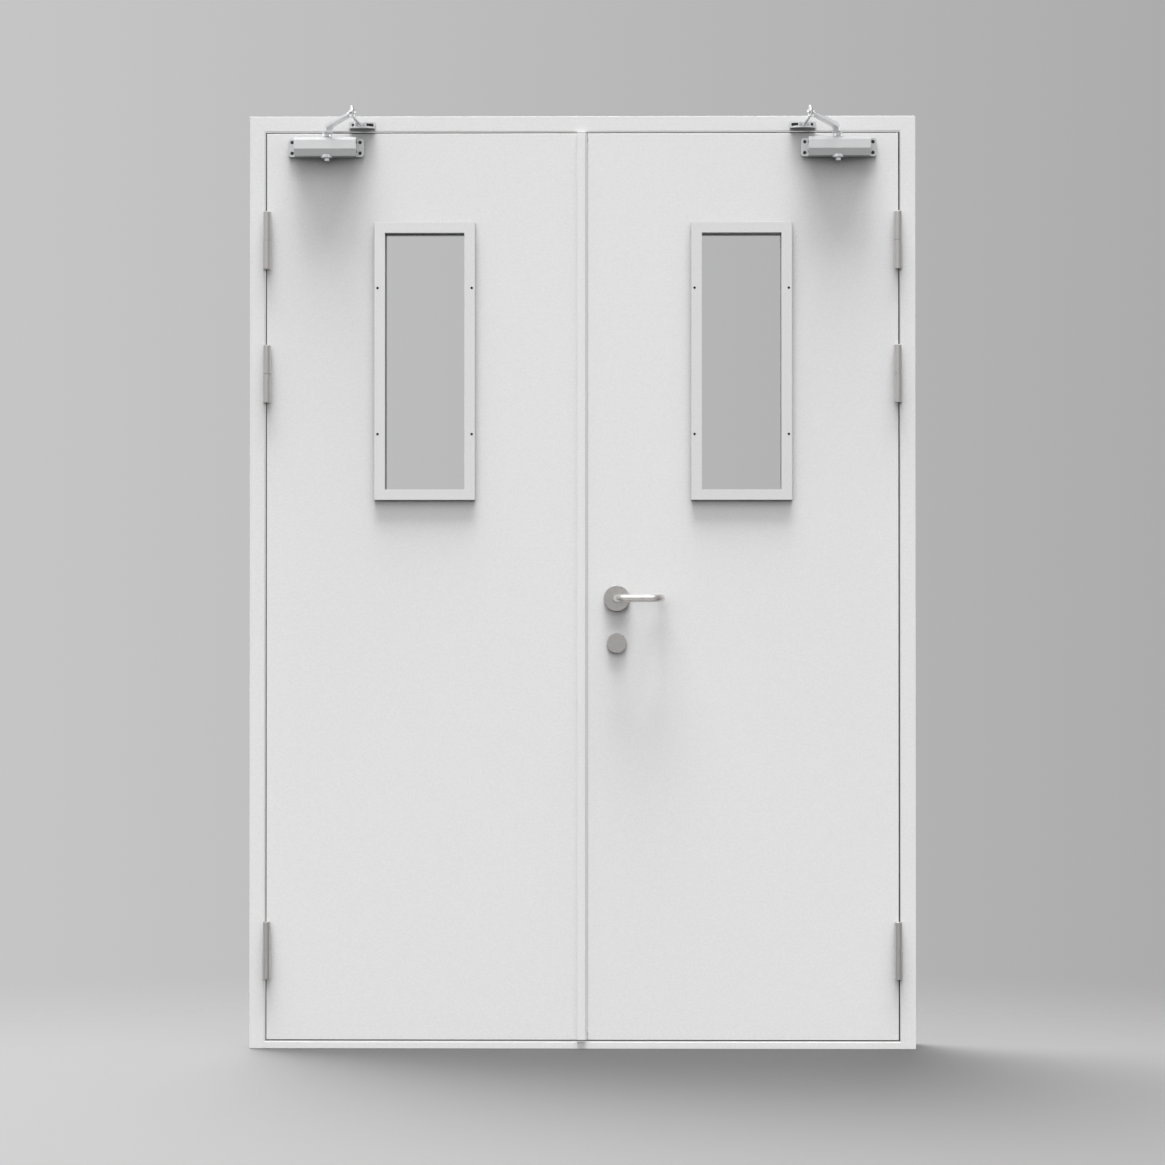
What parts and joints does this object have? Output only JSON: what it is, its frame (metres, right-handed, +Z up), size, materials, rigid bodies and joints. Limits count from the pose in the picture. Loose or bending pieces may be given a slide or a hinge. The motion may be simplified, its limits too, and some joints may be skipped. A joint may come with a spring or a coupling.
{
  "type": "double-leaf fire door with frame",
  "caption": "White steel double fire door in its frame, with narrow glazed vision panels, overhead closers with arms, a lever handle and barrel hinges.",
  "frame": {"origin": "middle of the threshold's underside", "axes": "+X along the doorway to the right seen from the front, +Y from the front (hinge side) to the back, +Z up"},
  "size_m": [1.5, 0.3077, 2.1],
  "materials": {
    "door_paint": "satin",
    "bezel_paint": "satin",
    "mineral_core": "matte",
    "glass": "gloss",
    "smoke_seal": "matte",
    "gasket_rubber": "matte",
    "hinge_steel": "satin",
    "satin_steel": "satin",
    "closer_paint": "satin",
    "arm_steel": "satin"
  },
  "bodies": {
    "frame": {"frame_left_jamb": "door_paint", "frame_right_jamb": "door_paint", "frame_head": "door_paint", "threshold": "door_paint", "frame_smoke_seal": "smoke_seal", "frame_stop_gasket": "gasket_rubber", "left_top_hinge_frame_half": "hinge_steel", "left_middle_hinge_frame_half": "hinge_steel", "left_bottom_hinge_frame_half": "hinge_steel", "right_top_hinge_frame_half": "hinge_steel", "right_middle_hinge_frame_half": "hinge_steel", "right_bottom_hinge_frame_half": "hinge_steel", "left_closer_shoe": "closer_paint", "right_closer_shoe": "closer_paint"},
    "left_leaf": {"left_leaf_core": "mineral_core", "left_leaf_front_skin": "door_paint", "left_leaf_back_skin": "door_paint", "left_window_glass": "glass", "left_window_front_bezel": "bezel_paint", "left_window_back_bezel": "bezel_paint", "left_closer_body": "closer_paint", "left_top_hinge_leaf_half": "hinge_steel", "left_middle_hinge_leaf_half": "hinge_steel", "left_bottom_hinge_leaf_half": "hinge_steel", "meeting_strip": "door_paint", "meeting_seal": "smoke_seal"},
    "right_leaf": {"right_leaf_core": "mineral_core", "right_leaf_front_skin": "door_paint", "right_leaf_back_skin": "door_paint", "right_window_glass": "glass", "right_window_front_bezel": "bezel_paint", "right_window_back_bezel": "bezel_paint", "right_closer_body": "closer_paint", "right_top_hinge_leaf_half": "hinge_steel", "right_middle_hinge_leaf_half": "hinge_steel", "right_bottom_hinge_leaf_half": "hinge_steel", "lever_roses": "satin_steel", "lock_escutcheons": "satin_steel", "lock_faceplate": "satin_steel"},
    "lever": {"lever_front": "satin_steel", "lever_back": "satin_steel"},
    "left_arm": {"left_closer_arm": "arm_steel"},
    "left_rod": {"left_closer_rod": "arm_steel"},
    "right_arm": {"right_closer_arm": "arm_steel"},
    "right_rod": {"right_closer_rod": "arm_steel"}
  },
  "joints": [
    {"name": "left_leaf_swing", "type": "hinge", "parent": "frame", "child": "left_leaf", "pos_m": [-0.71, -0.06675, 1], "axis": [0, 0, -1], "range_deg": [0, 100], "stiffness_Nm_per_rad": 10},
    {"name": "right_leaf_swing", "type": "hinge", "parent": "frame", "child": "right_leaf", "pos_m": [0.71, -0.06675, 1], "axis": [0, 0, 1], "range_deg": [0, 100], "stiffness_Nm_per_rad": 10},
    {"name": "lever_turn", "type": "hinge", "parent": "right_leaf", "child": "lever", "pos_m": [0.0775, -0.0575, 1.013], "axis": [0, 1, 0], "range_deg": [0, 45], "stiffness_Nm_per_rad": 2, "springref_deg": -34.38},
    {"name": "left_arm_turn", "type": "hinge", "parent": "left_leaf", "child": "left_arm", "pos_m": [-0.575, -0.0805, 2.06], "axis": [0, 0, 1], "range_deg": [0, 164]},
    {"name": "left_rod_turn", "type": "hinge", "parent": "frame", "child": "left_rod", "pos_m": [-0.499, -0.0725, 2.078], "axis": [0, 0, -1], "range_deg": [0, 31]},
    {"name": "right_arm_turn", "type": "hinge", "parent": "right_leaf", "child": "right_arm", "pos_m": [0.575, -0.0805, 2.06], "axis": [0, 0, -1], "range_deg": [0, 164]},
    {"name": "right_rod_turn", "type": "hinge", "parent": "frame", "child": "right_rod", "pos_m": [0.499, -0.0725, 2.078], "axis": [0, 0, 1], "range_deg": [0, 31]}
  ],
  "couplings": [
    {"joint": "left_arm_turn", "follows": "left_leaf_swing", "ratio": 1.6325},
    {"joint": "left_rod_turn", "follows": "left_leaf_swing", "ratio": 0.30924},
    {"joint": "right_arm_turn", "follows": "right_leaf_swing", "ratio": 1.6325},
    {"joint": "right_rod_turn", "follows": "right_leaf_swing", "ratio": 0.30924}
  ]
}
